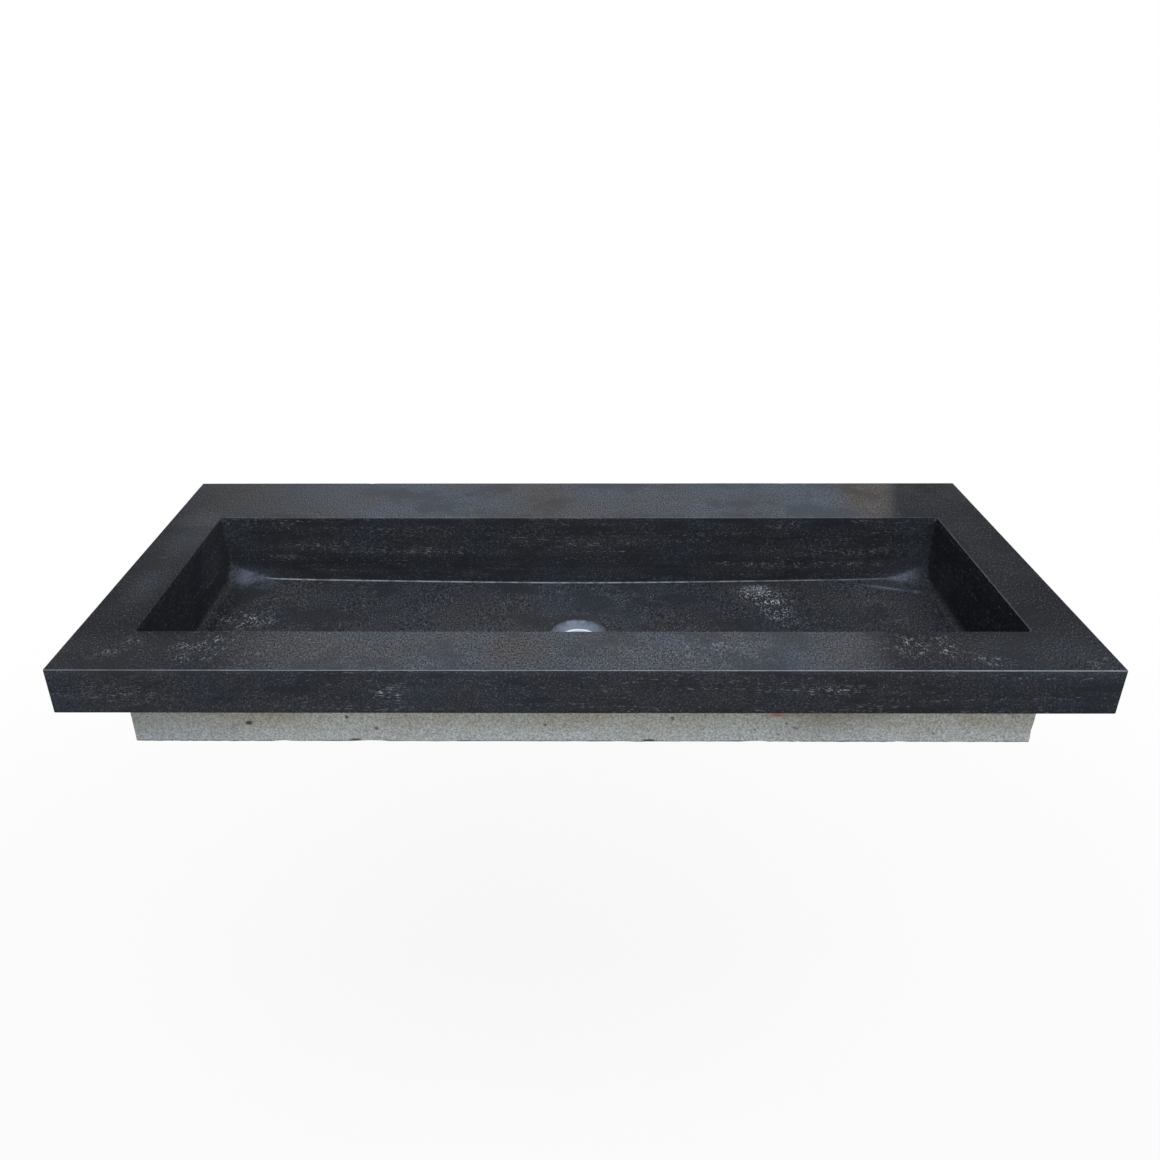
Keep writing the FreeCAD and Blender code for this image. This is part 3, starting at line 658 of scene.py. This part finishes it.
def turnWaste(w):
    edge = (w["flange"], w["flangeUnder"] + w["flangeEdge"])
    lip = (w["throat"], w["crest"][1] - w["lip"])
    outerCrest = levelArc(w["crest"], edge, 9)[::-1]
    innerCrest = levelArc(w["crest"], lip, 9)[1:]
    tailHeights = np.linspace(w["bottom"] + w["chamfer"], w["reliefBottom"], w["threadRows"])
    inside = w["tail"] - w["reliefDepth"]
    outline = np.concatenate([
        [(w["flange"], w["flangeUnder"])], outerCrest, innerCrest,
        [(w["throat"], w["seat"]), (w["bore"], w["seat"]), (w["bore"], w["bottom"])],
        [(w["tail"] - w["chamfer"], w["bottom"])],
        np.c_[np.full(w["threadRows"], w["tail"]), tailHeights],
        [(inside, w["reliefBottom"]), (inside, w["reliefTop"]), (w["tail"], w["reliefTop"])],
        [(w["tail"], w["collarUnder"]), (w["collar"], w["collarUnder"]), (w["collar"], w["flangeUnder"])],
    ])
    points, angle = carriedRound(outline, w["steps"])
    # the thread: a ridge that climbs one pitch in each turn and runs out towards both ends
    height = points[..., 2]
    turns = height / w["pitch"] - angle / (2 * np.pi)
    ridge = np.abs(2 * (turns - np.floor(turns)) - 1)
    runOut = smoothStep(height, w["bottom"] + w["chamfer"], w["bottom"] + w["runOutFoot"])
    runOut *= 1 - smoothStep(height, w["reliefBottom"] - w["runOutTop"], w["reliefBottom"])
    isTail = np.isclose(column(outline[:, 0]), w["tail"]) & (height <= w["reliefBottom"])
    cut = isTail * runOut * w["threadDepth"] * smoothStep(ridge, .12, .88)
    points[..., :2] *= (1 - cut / column(outline[:, 0]))[..., None]
    bodyFaces = gridFaces(*points.shape[:2], True)[:, ::-1]

    # the bridge: a boss whose radius runs out along each arm, as half the arm's width
    # over the sine of the turn from it
    outEdge = math.asin(w["arm"] / 2 / w["armEnd"])
    inEdge = math.asin(w["arm"] / 2 / w["boss"])
    half = np.interp(np.arange(40), [0, 6, 18, 39], [0, outEdge, inEdge, np.pi / w["arms"] * .98])
    fan = np.concatenate([-half[:0:-1], half])
    turn = (fan + column(2 * np.pi * np.arange(w["arms"]) / w["arms"])).ravel()
    reach = w["arm"] / 2 / np.maximum(np.abs(np.sin(fan)), 1e-9)
    reach = np.tile(np.clip(reach, w["boss"], w["armEnd"]), w["arms"])
    reach = np.where(np.tile(np.abs(fan), w["arms"]) > np.pi / 2, w["boss"], reach)
    ease = w["bridgeEase"]
    radii = np.stack([np.full(len(turn), w["bossHole"]), reach - ease, reach, reach, reach - ease,
                      np.full(len(turn), w["bossHole"])])
    levels = column([w["bridgeTop"], w["bridgeTop"], w["bridgeTop"] - ease,
                     w["bridgeBottom"] + ease, w["bridgeBottom"], w["bridgeBottom"]])
    bridge = np.stack(np.broadcast_arrays(radii * np.cos(turn), radii * np.sin(turn), levels), -1)
    bridgeFaces = gridFaces(*bridge.shape[:2], True) + points[..., 0].size
    allPoints = np.concatenate([points.reshape(-1, 3), bridge.reshape(-1, 3)])
    return meshPiece("wasteBody", allPoints, [np.concatenate([bodyFaces, bridgeFaces])], 32)


plug = dict(
    radius=.0196, crown=-.0488, edge=-.0513, foot=-.0528, round=.0004,
    boss=.0060, bossEnd=-.0580, hole=.00305, holeEnd=-.05255, steps=96,
)


# The plug: a dome with both ends of its outline on the axis, each closed with a fan of triangles
def turnPlug(p):
    dome = levelArc((0, p["crown"]), (p["radius"], p["edge"]), 20)[1:-1]
    outline = np.concatenate([
        dome,
        [(p["radius"] - p["round"] / 3, p["edge"] + p["round"] / 5), (p["radius"], p["edge"] - p["round"])],
        [(p["radius"], p["foot"] + p["round"]), (p["radius"] - p["round"], p["foot"])],
        [(p["boss"], p["foot"]), (p["boss"], p["bossEnd"])],
        [(p["hole"], p["bossEnd"]), (p["hole"], p["holeEnd"])],
    ])
    points = carriedRound(outline, p["steps"])[0]
    ring = np.arange(p["steps"])
    ahead = np.roll(ring, -1)
    count = points[..., 0].size
    last = count - p["steps"]
    quads = gridFaces(*points.shape[:2], False)
    fans = np.concatenate([
        np.stack([np.full(p["steps"], count), ring, ahead], -1),
        np.stack([np.full(p["steps"], count + 1), last + ahead, last + ring], -1),
    ])
    poles = [(0, 0, p["crown"]), (0, 0, p["holeEnd"])]
    return meshPiece("plugCap", np.concatenate([points.reshape(-1, 3), poles]), [quads, fans], 32)


# Metals, rubber and plastic: each has its own fine marks
metals = dict(
    chrome=dict(colour=tone(214, 221, 232), dull=tone(194, 202, 214),
                rough=(.60, .72), marks=(1, 1, 1), scale=240),
    brass=dict(colour=tone(214, 186, 118), dull=tone(168, 138, 82),
               rough=(.22, .42), marks=(1, 1, 14), scale=90),
    steel=dict(colour=tone(190, 190, 193), dull=tone(150, 150, 154),
               rough=(.25, .42), marks=(1, 1, 18), scale=110),
)
softs = dict(
    rubber=dict(colour=tone(30, 30, 32), dull=tone(46, 46, 48), rough=(.62, .85), scale=420, bump=.25),
    plastic=dict(colour=tone(226, 226, 220), dull=tone(204, 203, 194), rough=(.38, .55), scale=300, bump=.12),
)


def metalFinish(name, m):
    finish, tree, shader = newFinish(name)
    marks = noiseOf(tree, objectPlace(tree, m["marks"]), m["scale"], 4, .6)
    tarnish = noiseOf(tree, objectPlace(tree), 60, 3)
    colour = blendColour(tree, between(tree, tarnish, .45, .75, 0, .7), m["colour"], m["dull"])
    tree.links.new(colour, shader.inputs["Base Color"])
    tree.links.new(between(tree, marks, .3, .7, *m["rough"]), shader.inputs["Roughness"])
    shader.inputs["Metallic"].default_value = 1
    tree.links.new(bumpOf(tree, marks, .05, .0002), shader.inputs["Normal"])
    return finish


def softFinish(name, m):
    finish, tree, shader = newFinish(name)
    grain = noiseOf(tree, objectPlace(tree), m["scale"], 3, .6)
    bloom = noiseOf(tree, objectPlace(tree), 45, 3)
    colour = blendColour(tree, between(tree, bloom, .4, .7, 0, .8), m["colour"], m["dull"])
    tree.links.new(colour, shader.inputs["Base Color"])
    tree.links.new(between(tree, grain, .3, .7, *m["rough"]), shader.inputs["Roughness"])
    tree.links.new(bumpOf(tree, grain, m["bump"], .0003), shader.inputs["Normal"])
    return finish


finishes = {name: metalFinish(name, m) for name, m in metals.items()}
finishes |= {name: softFinish(name, m) for name, m in softs.items()}
dress(turnWaste(waste), "basin", "waste_body", finishes["chrome"])
dress(turnPlug(plug), "plug", "plug_cap", finishes["chrome"])
replaced = ("stone_basin", "waste_body", "plug_cap")
for row in frame["record"]["subparts"]:
    if row["node"] not in replaced:
        node = frame["nodes"][row["node"]]
        node.data.materials.clear()
        node.data.materials.append(finishes[row["material_slot"]])
print("finishes on", len(frame["nodes"]), "nodes")


# The studio: a pale floor where a hung basin's would be, soft light from above the front and a white
# surround. The camera and reflections see it at full white, and it lights the object more dimly
studio = dict(
    floorHeight=-.80, floorSize=40, bounce=.50, floorGlow=.85, glowFrom=.9, glowTo=2.2,
    ambient=.35, sun=1.70, sunSoftness=70, sunTilt=30, sunSwing=14,
)


def isSeen(tree):  # 1 for rays that come from the camera, straight or by way of a reflection or glass
    rays = addNode(tree, "ShaderNodeLightPath", {}).outputs
    mirrored = calc(tree, "MAXIMUM", rays["Is Glossy Ray"], rays["Is Transmission Ray"])
    return calc(tree, "MAXIMUM", rays["Is Camera Ray"], mirrored)


def setStudio(s):
    world = bpy.data.worlds.new("surround")
    bpy.context.scene.world = world
    world.use_nodes = True
    tree = world.node_tree
    back = tree.nodes["Background"]
    back.inputs["Color"].default_value = (1, 1, 1, 1)
    tree.links.new(between(tree, isSeen(tree), 0, 1, s["ambient"], 1), back.inputs["Strength"])

    half = s["floorSize"] / 2
    corners = [(-half, -half), (half, -half), (half, half), (-half, half)]
    points = [(x, y, s["floorHeight"]) for x, y in corners]
    floor = meshPiece("floor", points, [np.array([[0, 1, 2, 3]])], 30)
    finish, tree, shader = newFinish("paleFloor")
    mottle = between(tree, noiseOf(tree, objectPlace(tree), 3, 3), 0, 1, .97, 1)
    seen = isSeen(tree)
    bright = calc(tree, "MULTIPLY", mottle, between(tree, seen, 0, 1, s["bounce"], 1))
    tree.links.new(addNode(tree, "ShaderNodeCombineColor", {0: bright, 1: bright, 2: bright}).outputs[0],
                   shader.inputs["Base Color"])
    shader.inputs["Roughness"].default_value = .9
    shader.inputs["Specular IOR Level"].default_value = 0
    glow = addNode(tree, "ShaderNodeEmission", {"Color": (1, 1, 1, 1), "Strength": 1.0}).outputs[0]
    # most of the floor's white, so that a faint shadow is left under the basin and none farther off
    away = lengthOf(tree, objectPlace(tree, (1, 1, 0)))
    share = calc(tree, "MULTIPLY", seen, between(tree, away, s["glowFrom"], s["glowTo"], s["floorGlow"], 1))
    mixed = addNode(tree, "ShaderNodeMixShader", {0: share, 1: shader.outputs[0], 2: glow}).outputs[0]
    tree.links.new(mixed, tree.nodes["Material Output"].inputs["Surface"])
    floor.data.materials.append(finish)

    lamp = bpy.data.lights.new("softSun", "SUN")
    lamp.energy = s["sun"]
    lamp.angle = math.radians(s["sunSoftness"])
    sun = bpy.data.objects.new("softSun", lamp)
    sun.rotation_euler = (math.radians(s["sunTilt"]), 0, math.radians(s["sunSwing"]))
    bpy.context.scene.collection.objects.link(sun)


setStudio(studio)
print("studio set")


# The camera at the photograph's angle: yaw to the right, pitch down and roll, with the picture's own shift
view = dict(
    place=(-.019962, -1.080391, .565948), yaw=-.00933, pitch=.48458, roll=-.00403,
    focal=1018.58, frameSide=1160, centre=(554.13, 603.0), sensor=36,
)


def setCamera(v):
    yaw, pitch, roll = v["yaw"], v["pitch"], v["roll"]
    ahead = np.array([math.sin(yaw) * math.cos(pitch), math.cos(yaw) * math.cos(pitch), -math.sin(pitch)])
    right = np.array([math.cos(yaw), -math.sin(yaw), 0])
    up = np.cross(right, ahead)
    across = math.cos(roll) * right + math.sin(roll) * up
    upright = math.cos(roll) * up - math.sin(roll) * right
    data = bpy.data.cameras.new("camera")
    data.sensor_width = v["sensor"]
    data.lens = v["focal"] / v["frameSide"] * v["sensor"]
    data.shift_x = .5 - v["centre"][0] / v["frameSide"]
    data.shift_y = v["centre"][1] / v["frameSide"] - .5
    data.clip_end = 100
    camera = bpy.data.objects.new("camera", data)
    turn = Matrix(np.c_[across, upright, -ahead].tolist()).to_4x4()
    camera.matrix_world = Matrix.Translation(v["place"]) @ turn
    bpy.context.scene.collection.objects.link(camera)
    bpy.context.scene.camera = camera


setCamera(view)
bpy.context.scene.view_settings.view_transform = "Standard"
print("camera set")
